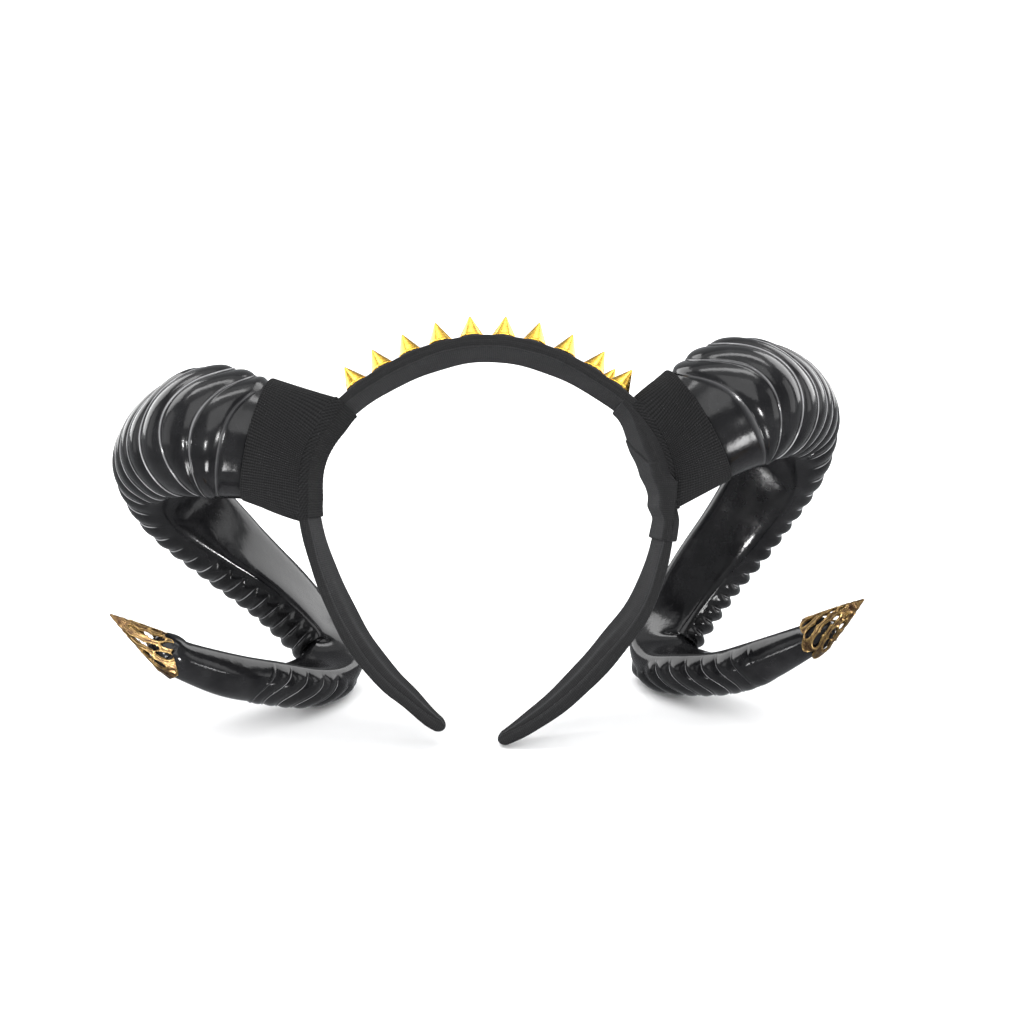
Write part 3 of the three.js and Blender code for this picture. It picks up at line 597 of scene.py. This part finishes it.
def make_sleeve(name, side):
    """Knit sleeve: lofted from a rounded rectangle on the hoop's outer face to the horn's
    section at the cuff, with ribs that run out along the horn, and turned in at the cuff."""
    rows = horn_rows(side)
    cuff_share = 2 / (len(rows) - 1)
    angle = np.linspace(0, 2 * math.pi, SLEEVE_RIBS * RIB_POINTS, endpoint=False)
    at, run, curl, beside, across, deep = horn_at(rows, side, np.array([cuff_share]))
    facing = np.cos(angle)
    flat = np.where(facing > 0, 1 - (1 - INNER_FACE_SHARE) * facing, 1)
    body = ROOM + KNIT - KNIT_RISE
    cuff_ring = (
        at[0]
        + curl[0] * (facing * (deep[0] * flat + body))[:, None]
        + beside[0] * (np.sin(angle) * (across[0] + body))[:, None]
    )
    # the same directions round the seat on the hoop, as a rounded rectangle on its outer face
    toward = unit(cuff_ring - at[0])
    yz = toward[:, 1:]
    yz = yz / np.linalg.norm(yz, axis=1, keepdims=True)
    low, high = side["wrap"]
    half_up = (high - low) / 2 + 1.0
    mid_up = (high + low) / 2
    power = 5.0
    shape = np.abs(yz[:, 0] / SLEEVE_HALF_DEPTH) ** power + np.abs(yz[:, 1] / half_up) ** power
    radius = shape ** (-1 / power)
    up = mid_up + yz[:, 1] * radius
    back = yz[:, 0] * radius
    t = np.array([hoop_share(side["sign"], value) for value in up])
    rim, _, band_across, inward, wide, _ = hoop_at(t)
    seat_ring = rim + band_across * (wide[:, None] / 2 + back[:, None]) + inward * SLEEVE_START
    share = np.linspace(0, 1, 60)[:, None, None]
    bend = share * share * (1.6 - 0.6 * share)
    loft = seat_ring[None] * (1 - share) + cuff_ring[None] * share
    swell = seat_ring[None] + (cuff_ring - seat_ring)[None] * (0.35 * share + 0.65 * bend)
    skin = loft * 0.5 + swell * 0.5
    outward = unit(skin - skin.mean(1, keepdims=True))
    turn = 1.2 * (1 - share[..., 0]) ** 2
    phase = SLEEVE_RIBS * (angle[None] / (2 * math.pi)) + turn
    ridges = knit_ridges(phase, 1.0)
    up_facing = outward[..., 2]
    high_side, low_side = side["bulge"]
    bulge = high_side * np.clip(up_facing, 0, 1) ** 2 + low_side * np.clip(-up_facing, 0, 1) ** 2
    bulge = bulge * np.sin(math.pi * np.clip(share[..., 0], 0, 0.75) / 0.95) ** 0.5
    skin = skin + outward * (KNIT_RISE * ridges + bulge)[..., None]
    # rolled edge at the cuff and the inside of the sleeve
    lip = np.linspace(0, math.pi, 9)[1:, None, None]
    centre = skin[-1].mean(0)
    out = unit(skin[-1] - centre)[None]
    way = run[0][None, None]
    rolled = skin[-1][None] + out * (CUFF_ROLL * (np.cos(lip) - 1)) + way * (CUFF_ROLL * np.sin(lip))
    inside = skin[[-4, -8, -12]] - outward[[-4, -8, -12]] * KNIT
    points = np.concatenate([skin, rolled, inside])
    lengths = np.concatenate([[0], np.cumsum(np.linalg.norm(np.diff(points, axis=0), axis=2).mean(1))])
    around = ring_lengths(points)
    uv = np.stack([around, np.repeat(lengths[:, None], around.shape[1], 1)], -1) * MM
    # the rib heights go to the material, which paints the rib tops lighter as a painted highlight
    rise = np.concatenate([ridges, np.repeat(ridges[-1:], len(points) - len(ridges), 0)])
    return surface(name, settle(points), uv, ends=(False, False), rise=rise)


# ---------------------------------------------------------------- studs and caps
def make_stud(name, x, front_share):
    """Stud: lathed cone with a rounded point, on a short lip over a bead of dark glue."""
    rim, _, across, inward, wide, _ = hoop_at([crown_share(x)])
    out = -inward[0]
    foot = rim[0] + across[0] * wide[0] * front_share + out * GAP
    side_a = across[0]
    side_b = np.cross(out, side_a)
    profile = np.array([
        (0.3, 0.0), (3.2, 0.0), (4.35, 0.02), (4.55, 0.12), (4.6, 0.35), (4.52, 0.6), (4.3, 0.82), (4.1, 1.2),
        (3.6, 2.15), (3.05, 3.2), (2.5, 4.2), (1.95, 5.25), (1.4, 6.3), (0.9, 7.25), (0.55, 7.9), (0.36, 8.2),
        (0.2, 8.42), (0.07, 8.55),
    ])
    angle = np.linspace(0, 2 * math.pi, 56, endpoint=False)
    ring = side_a * np.cos(angle)[:, None] + side_b * np.sin(angle)[:, None]
    points = foot + out * profile[:, 1][:, None, None] + ring[None] * profile[:, 0][:, None, None]
    return surface(name, settle(points))


def make_glue():
    """Dark dried glue squeezed out round every stud: thin lumpy rings on the cloth."""
    columns, sides = 96, 8
    angle = np.linspace(0, 2 * math.pi, columns, endpoint=False)
    turn = np.linspace(0, 2 * math.pi, sides, endpoint=False)
    i, j = np.meshgrid(np.arange(columns), np.arange(sides), indexing="ij")
    ahead, after = (i + 1) % columns, (j + 1) % sides
    near, ahead = i * sides, ahead * sides
    quads = np.stack([near + j, ahead + j, ahead + after, near + after], -1).reshape(-1, 4)
    verts, faces = [], []
    spots = [(x, STUD_FRONT_SHARE) for x in STUD_X] + [(STUD_BEHIND_X, STUD_BEHIND_SHARE)]
    for k, (x, share) in enumerate(spots):
        rim, _, across, inward, wide, _ = hoop_at([crown_share(x)])
        out = -inward[0]
        foot = rim[0] + across[0] * wide[0] * share + out * 0.1
        side_a, side_b = across[0], np.cross(out, across[0])
        lump = 0.26 + 0.13 * np.sin(3 * angle + k) * np.sin(5 * angle + 2.3 * k)
        lump += 0.07 * np.sin(11 * angle + k)
        reach = 4.55 + 0.12 * np.sin(2 * angle + 1.7 * k)
        ring = side_a * np.cos(angle)[:, None] + side_b * np.sin(angle)[:, None]
        height = lump[:, None] * np.sin(turn)[None]
        far = reach[:, None] + lump[:, None] * 1.3 * np.cos(turn)[None]
        verts.append((foot + ring[:, None] * far[..., None] + out * height[..., None]).reshape(-1, 3))
        faces.append(quads + k * columns * sides)
    return finish_mesh("stud_glue", settle(np.vstack(verts)), np.vstack(faces).tolist())


def make_cap(name, side):
    """Pierced cone cap: rows of leaf-shaped openings in a cone, drawn in by a level
    function that is positive in the metal. Grid points beside an edge move onto it."""
    columns, rings = 300, 200
    rim = np.array(side["rim"]) * [side["sign"], 1, 1]
    point = np.array(side["point"]) * [side["sign"], 1, 1]
    long = np.linalg.norm(point - rim)
    axis = (point - rim) / long
    a_side = unit(np.cross(axis, [0, 0, 1.0]))
    b_side = np.cross(axis, a_side)
    w = np.linspace(-CAP_LOBE_SHARE, 1, rings)[:, None] * np.ones((1, columns))
    a = np.linspace(0, 2 * math.pi, columns, endpoint=False)[None] * np.ones((rings, 1))

    def radius(w):
        cone = CAP_RIM_RADIUS * (1 - w) ** 0.96 + 0.35 * w
        lobe = CAP_RIM_RADIUS + (CAP_LOBE_RADIUS - CAP_RIM_RADIUS) * (-w / CAP_LOBE_SHARE)
        return np.where(w < 0, lobe, cone)

    def metal(w, a):
        """Positive in the metal: the least distance to any opening, as a share of its size."""
        r = np.maximum(radius(np.clip(w, -1, 0.98)), 0.3)
        level = np.full(w.shape, 9.0)
        for along, length, width, number, turn in CAP_LEAVES:
            step = 2 * math.pi / number
            wound = a + 2 * math.pi * CAP_SWIRL * (w - along) * 2
            offset = (wound / step - turn + 0.5) % 1 - 0.5
            u = offset * step * r
            v = (w - along) * long
            taper = 1 - 0.35 * v / length
            far = np.sqrt((u / (width / 2 * taper)) ** 2 + (v / (length / 2)) ** 2)
            level = np.minimum(level, far - 1)
        step = 2 * math.pi / CAP_LOBES
        offset = (a / step) % 1 - 0.5
        depth = CAP_LOBE_SHARE * (0.62 - 0.38 * np.cos(a * 2 + 0.7))
        edge = -depth + (np.abs(offset) * 2) ** 2.2 * depth - side["rim_tilt"] * (np.sin(a) - 0.2)
        return np.minimum(level, (w - edge) * long / 1.4)

    eps = 1e-4
    cell_w = (1 + CAP_LOBE_SHARE) / (rings - 1)
    cell_a = 2 * math.pi / columns
    for _ in range(3):
        f = metal(w, a)
        fw = (metal(w + eps, a) - metal(w - eps, a)) / (2 * eps)
        fa = (metal(w, a + eps) - metal(w, a - eps)) / (2 * eps)
        size = (fw * cell_w) ** 2 + (fa * cell_a) ** 2 + 1e-9
        near = np.abs(f) < 0.75 * np.sqrt(size)
        move = np.where(near, -f / size, 0)
        w = w + np.clip(move * fw * cell_w**2, -cell_w / 2, cell_w / 2)
        a = a + np.clip(move * fa * cell_a**2, -cell_a / 2, cell_a / 2)
        w = np.clip(w, -CAP_LOBE_SHARE, 1)
    f = metal(w, a)
    i, j = np.meshgrid(np.arange(rings - 1), np.arange(columns), indexing="ij")
    after = (j + 1) % columns
    near, far = i * columns, (i + 1) * columns
    quads = np.stack([near + j, near + after, far + after, far + j], -1)
    keep = f.ravel()[quads].mean(-1) > 0
    quads = quads[keep]
    r = radius(np.clip(w, -1, 0.985))
    # raised lip round every opening, veins between them and beads near the point
    lip = np.exp(-(((f - 0.22) / 0.16) ** 2))
    veins = np.cos(a * 18 + w * 26) * smooth(f, 0.5, 0.9)
    relief = 0.26 * lip + 0.10 * veins + 0.10 * np.cos(w * long * 2.4) * smooth(w, 0.6, 0.75)
    r = r + relief * smooth(1.0 - w, 0, 0.2)
    around = a_side * np.cos(a)[..., None] + b_side * np.sin(a)[..., None]
    points = rim + axis * (w * long)[..., None] + around * r[..., None]
    used, index = np.unique(quads, return_inverse=True)
    verts = settle(points.reshape(-1, 3)[used])
    return finish_open(name, verts, index.reshape(-1, 4), settle(rim[None])[0], lip.ravel()[used])


def finish_open(name, verts, quads, heart, wear_and_painted_highlight):
    """Sheet turned away from a point inside it, then given its wall inwards. worn is a value
    per vertex, kept as an attribute: one on the rubbed edges, zero elsewhere."""
    mesh = bpy.data.meshes.new(name)
    mesh.from_pydata(verts.tolist(), [], quads.tolist())
    corner = verts[quads]
    normal = np.cross(corner[:, 2] - corner[:, 0], corner[:, 3] - corner[:, 1])
    if np.einsum("ij,ij->i", normal, corner.mean(1) - heart).sum() < 0:
        mesh.flip_normals()
    mesh.attributes.new("wear_and_painted_highlight", "FLOAT", "POINT").data.foreach_set("value", wear_and_painted_highlight.astype(np.float32))
    mesh.polygons.foreach_set("use_smooth", np.ones(len(quads), bool))
    mesh.update()
    piece = bpy.data.objects.new(name, mesh)
    bpy.context.scene.collection.objects.link(piece)
    wall = piece.modifiers.new("wall", "SOLIDIFY")
    wall.thickness = CAP_WALL * MM
    wall.offset = -1
    return piece


# ---------------------------------------------------------------- materials
class Finish:
    """Small helper that builds a node material around one Principled shader."""

    def __init__(self, name, **values):
        self.material = bpy.data.materials.new(name)
        self.material.use_nodes = True
        self.tree = self.material.node_tree
        self.shader = self.tree.nodes["Principled BSDF"]
        for key, value in values.items():
            self.shader.inputs[key.replace("_", " ")].default_value = value
        self.where = self.tree.nodes.new("ShaderNodeTexCoord")

    def node(self, kind, **values):
        """A node of a kind, with its sockets or settings set by name."""
        made = self.tree.nodes.new("ShaderNode" + kind)
        for key, value in values.items():
            name = key.replace("_", " ")
            if name in made.inputs:
                made.inputs[name].default_value = value
            else:
                setattr(made, key, value)
        return made

    def link(self, source, target):
        self.tree.links.new(source, target)
        return self

    def noise(self, scale, detail=3.0, rough=0.5, space="Object"):
        """Noise pattern of a scale, per metre."""
        made = self.node("TexNoise", Scale=scale, Detail=detail, Roughness=rough)
        self.link(self.where.outputs[space], made.inputs["Vector"])
        return made.outputs["Fac"]

    def wave(self, scale, direction, space="UV", distortion=0.0):
        """Bands of a scale, per metre."""
        made = self.node("TexWave", bands_direction=direction, Scale=scale, Distortion=distortion)
        made.wave_profile = "SIN"
        self.link(self.where.outputs[space], made.inputs["Vector"])
        return made.outputs["Fac"]

    def span(self, source, low, high, to_low, to_high):
        """A value's range carried to another range."""
        made = self.node("MapRange")
        for key, value in (("From Min", low), ("From Max", high), ("To Min", to_low), ("To Max", to_high)):
            made.inputs[key].default_value = value
        self.link(source, made.inputs["Value"])
        return made.outputs["Result"]

    def mix(self, share, first, second):
        """Colour between two colours by a share."""
        made = self.node("Mix", data_type="RGBA")
        self.link(share, made.inputs["Factor"])
        made.inputs[6].default_value = (*first, 1)
        made.inputs[7].default_value = (*second, 1)
        return made.outputs[2]

    def math(self, operation, first, second):
        """Arithmetic on two values, each a socket or a number."""
        made = self.node("Math", operation=operation)
        for k, value in enumerate((first, second)):
            if isinstance(value, (int, float)):
                made.inputs[k].default_value = value
            else:
                self.link(value, made.inputs[k])
        return made.outputs[0]

    def bump(self, height, strength, distance):
        """Bump of a height pattern, linked to the shader; a second call rides on the first."""
        made = self.node("Bump", Strength=strength, Distance=distance)
        self.link(height, made.inputs["Height"])
        current = self.shader.inputs["Normal"]
        if current.is_linked:
            self.link(current.links[0].from_socket, made.inputs["Normal"])
        self.link(made.outputs["Normal"], current)
        return self

    def colour(self, source):
        return self.link(source, self.shader.inputs["Base Color"])

    def roughness(self, source):
        return self.link(source, self.shader.inputs["Roughness"])


def horn_finish():
    """Thick black gloss lacquer: deep black, slightly uneven, with a painted highlight in pale grey along the
    crests.
    """
    f = Finish("horn_gloss_black", Metallic=0.0, Specular_IOR_Level=0.3)
    crest = f.node("Attribute", attribute_name="rise").outputs["Fac"]
    # painted highlight: the crests are painted pale grey, broken up by noise
    wear_and_painted_highlight = f.math("MULTIPLY", f.math("POWER", crest, 3), f.span(f.noise(70, 3, 0.5), 0.35, 0.6, 0.45, 1.0))
    lacquer = f.span(f.noise(90, 4, 0.6), 0.3, 0.7, 0.0, 0.02)
    f.colour(f.mix(f.math("ADD", lacquer, wear_and_painted_highlight), (0.0035, 0.0035, 0.004), (0.42, 0.42, 0.43)))
    f.roughness(f.span(f.noise(60, 5, 0.6), 0.35, 0.7, 0.10, 0.22))
    f.bump(f.noise(220, 3, 0.5), 0.25, 0.0004)
    f.bump(f.noise(1400, 2, 0.5), 0.12, 0.00012)
    return f.material


def cloth_finish():
    """Matt black woven cloth: plain weave with a soft fuzz that catches light at the edges."""
    f = Finish("band_black_cloth", Metallic=0.0, Specular_IOR_Level=0.18, Sheen_Weight=0.05,
               Sheen_Roughness=0.5)
    f.shader.inputs["Sheen Tint"].default_value = (0.6, 0.6, 0.64, 1)
    warp = f.wave(420, "X", distortion=0.6)
    weft = f.wave(420, "Y", distortion=0.6)
    weave = f.math("MULTIPLY", warp, weft)
    fuzz = f.noise(900, 4, 0.7)
    tone = f.math("ADD", f.math("MULTIPLY", weave, 0.5), f.math("MULTIPLY", fuzz, 0.6))
    f.colour(f.mix(tone, (0.004, 0.004, 0.0043), (0.018, 0.018, 0.0185)))
    f.roughness(f.span(fuzz, 0.3, 0.7, 0.78, 0.95))
    f.bump(weave, 0.5, 0.00018)
    f.bump(fuzz, 0.4, 0.00025)
    return f.material


def knit_finish():
    """Black rib knit: small stitches across each rib, lint, a dull sheen, and the tops of the ribs painted
    lighter as a painted highlight.
    """
    f = Finish("sleeve_black_knit", Metallic=0.0, Specular_IOR_Level=0.1, Sheen_Weight=0.02,
               Sheen_Roughness=0.6)
    f.shader.inputs["Sheen Tint"].default_value = (0.6, 0.6, 0.62, 1)
    stitch = f.wave(330, "Y", distortion=1.2)
    fuzz = f.noise(1100, 4, 0.7)
    ridge = f.node("Attribute", attribute_name="rise").outputs["Fac"]
    grain = f.math("ADD", f.math("MULTIPLY", stitch, 0.25), f.math("MULTIPLY", fuzz, 0.35))
    # painted highlight: the tops of the knit ribs are painted lighter
    tone = f.math("ADD", grain, f.math("MULTIPLY", f.math("POWER", ridge, 3), 0.5))
    f.colour(f.mix(tone, (0.001, 0.001, 0.0011), (0.0165, 0.0165, 0.017)))
    f.roughness(f.span(fuzz, 0.3, 0.7, 0.8, 0.98))
    f.bump(stitch, 0.5, 0.0002)
    f.bump(fuzz, 0.5, 0.0003)
    return f.material


def gold_finish():
    """Bright yellow gold plate with fine spinning marks and warm dull spots."""
    f = Finish("stud_gold", Metallic=1.0, Coat_Weight=0.2, Coat_Roughness=0.1)
    f.colour(f.mix(f.noise(420, 3, 0.6), (0.66, 0.34, 0.03), (0.84, 0.55, 0.085)))
    f.roughness(f.span(f.noise(900, 3, 0.6), 0.3, 0.7, 0.16, 0.32))
    f.bump(f.noise(1600, 2, 0.5), 0.15, 0.0001)
    return f.material


def brass_finish():
    """Antique brass: yellow edges, pinkish brown in the hollows, pitted and dull in spots."""
    f = Finish("cap_antique_brass", Metallic=1.0)
    rubbed = f.node("Attribute", attribute_name="wear_and_painted_highlight").outputs["Fac"]
    patina = f.span(f.noise(520, 4, 0.65), 0.35, 0.65, 0, 0.6)
    bright = f.math("ADD", patina, f.math("MULTIPLY", rubbed, 0.6))
    f.colour(f.mix(bright, (0.07, 0.035, 0.025), (0.42, 0.28, 0.11)))
    f.roughness(f.span(f.noise(1300, 3, 0.6), 0.3, 0.7, 0.24, 0.5))
    f.bump(f.noise(900, 3, 0.6), 0.5, 0.0002)
    return f.material


def glue_finish():
    """Dark dried glue between the studs."""
    f = Finish("dark_glue", Metallic=0.0, Specular_IOR_Level=0.4)
    f.colour(f.mix(f.noise(1500, 3, 0.6), (0.006, 0.005, 0.004), (0.02, 0.014, 0.01)))
    f.roughness(f.span(f.noise(1500, 3, 0.6), 0.3, 0.7, 0.35, 0.6))
    return f.material


def floor_finish():
    """Pale matt studio paper with a faint tooth."""
    f = Finish("studio_paper", Metallic=0.0, Specular_IOR_Level=0.1)
    f.colour(f.mix(f.noise(60, 4, 0.5), (0.86, 0.86, 0.86), (0.90, 0.90, 0.90)))
    f.roughness(f.span(f.noise(200, 3, 0.5), 0.3, 0.7, 0.85, 0.95))
    return f.material


# ---------------------------------------------------------------- studio
def make_floor():
    """Floor that curves up into a backdrop: a flat run, a quarter turn, a straight rise."""
    front, back, radius, height, half = -2.4, 1.4, 0.8, 3.4, 4.0
    turn = np.linspace(0, math.pi / 2, 25)
    y = np.concatenate([[front], back + radius * np.sin(turn), [back + radius]])
    z = np.concatenate([[0], radius - radius * np.cos(turn), [height]])
    x = np.linspace(-half, half, 9)
    points = np.stack(np.broadcast_arrays(x[None], y[:, None], z[:, None]), -1)
    i, j = np.meshgrid(np.arange(len(y) - 1), np.arange(8), indexing="ij")
    quads = np.stack([i * 9 + j, i * 9 + j + 1, (i + 1) * 9 + j + 1, (i + 1) * 9 + j], -1).reshape(-1, 4)
    mesh = bpy.data.meshes.new("studio_floor")
    mesh.from_pydata(points.reshape(-1, 3).tolist(), [], quads.tolist())
    mesh.polygons.foreach_set("use_smooth", np.ones(len(quads), bool))
    floor = bpy.data.objects.new("studio_floor", mesh)
    bpy.context.scene.collection.objects.link(floor)
    mesh.materials.append(floor_finish())
    floor.visible_glossy = False


def look_at(thing, target):
    """Turns a lamp so that it points at a place."""
    way = np.array(target) - np.array(thing.location)
    flat = math.hypot(way[0], way[1])
    thing.rotation_euler = (math.pi / 2 + math.atan2(way[2], flat), 0, math.atan2(-way[0], way[1]))


def add_softbox(name, place, target, width, height, power):
    """Rectangular soft lamp."""
    lamp = bpy.data.lights.new(name, "AREA")
    lamp.shape = "RECTANGLE"
    lamp.size = width
    lamp.size_y = height
    lamp.energy = power
    thing = bpy.data.objects.new(name, lamp)
    bpy.context.scene.collection.objects.link(thing)
    thing.location = place
    look_at(thing, target)
    thing.visible_camera = False


def make_studio():
    """Two small lamps low in front, a wide panel above them, one overhead, one tall box at
    each side, one behind each side for the smooth faces of the horns, two tiny ones near the
    floor for the glints on the ribs, and a pale surround."""
    heart = (0, 0, 0.08)
    add_softbox("key", (-0.36, -0.8, 0.06), heart, 0.06, 0.1, 3.0)
    add_softbox("fill", (0.44, -0.8, 0.06), heart, 0.06, 0.1, 3.2)
    add_softbox("panel", (0.1, -1.1, 1.15), heart, 1.8, 1.3, 17)
    add_softbox("overhead", (0, 0.1, 1.3), heart, 2.2, 1.3, 6)
    for way in (-1, 1):
        add_softbox("side", (way * 1.3, -0.05, 0.35), heart, 0.5, 0.9, 1.3 if way < 0 else 2.2)
        add_softbox("behind", (way * 0.95, 0.75, 0.55), heart, 0.9, 1.1, 12)
        across = 0.115 if way < 0 else 0.165
        add_softbox("low", (way * across, -0.13, 0.004), (way * across, -0.03, 0.11), 0.035, 0.045, 0.14)
    add_softbox("backdrop_glow", (0, 0.2, 1.9), (0, 2.0, 0.6), 2.4, 0.8, 50)
    world = bpy.data.worlds.new("studio_surround")
    bpy.context.scene.world = world
    world.use_nodes = True
    world.node_tree.nodes["Background"].inputs["Color"].default_value = (0.95, 0.97, 1.0, 1)
    world.node_tree.nodes["Background"].inputs["Strength"].default_value = 0.38


def make_camera():
    """Camera straight in front of the hoop's middle, level with the hoop's own axis, turned
    and leant with the headband: 60.6 mm lens on a 36 mm frame."""
    place = (8.81, -620.0, -7.91)
    eye, ahead, above = settle([place, (place[0], 0, place[2]), (place[0], place[1], place[2] + 100)])
    forward = unit(ahead - eye)
    up = unit(above - eye)
    right = np.cross(forward, up)
    data = bpy.data.cameras.new("camera")
    data.lens = 60.6
    data.sensor_width = 36
    data.clip_start = 0.01
    camera = bpy.data.objects.new("camera", data)
    bpy.context.scene.collection.objects.link(camera)
    turn = np.eye(4)
    turn[:3, 0], turn[:3, 1], turn[:3, 2], turn[:3, 3] = right, up, -forward, eye
    camera.matrix_world = Matrix(turn.tolist())
    bpy.context.scene.camera = camera


HORN_LOOK = horn_finish()
CLOTH_LOOK = cloth_finish()
KNIT_LOOK = knit_finish()
GOLD_LOOK = gold_finish()
BRASS_LOOK = brass_finish()

dress(make_band(), CLOTH_LOOK, "cloth", "headband")
dress(make_strip(), CLOTH_LOOK, "cloth", "strip_right")
for side_name, side in SIDES.items():
    dress(make_horn(f"horn_{side_name}_gloss", side), HORN_LOOK, "horn", f"horn_{side_name}")
    dress(make_wrap(f"wrap_{side_name}_knit", side), KNIT_LOOK, "knit", f"wrap_{side_name}")
    dress(make_sleeve(f"sleeve_{side_name}_knit", side), KNIT_LOOK, "knit", f"sleeve_{side_name}")
    dress(make_cap(f"tip_cap_{side_name}_brass", side), BRASS_LOOK, "brass", f"tip_cap_{side_name}")
for k, x in enumerate(STUD_X, 1):
    dress(make_stud(f"spike_{k:02d}_gold", x, STUD_FRONT_SHARE), GOLD_LOOK, "gold", f"spike_{k:02d}")
dress(make_stud("spike_11_gold", STUD_BEHIND_X, STUD_BEHIND_SHARE), GOLD_LOOK, "gold", "spike_11")
dress(make_glue(), glue_finish(), "cloth")

make_floor()
make_studio()
make_camera()
bpy.context.scene.view_settings.view_transform = "Standard"
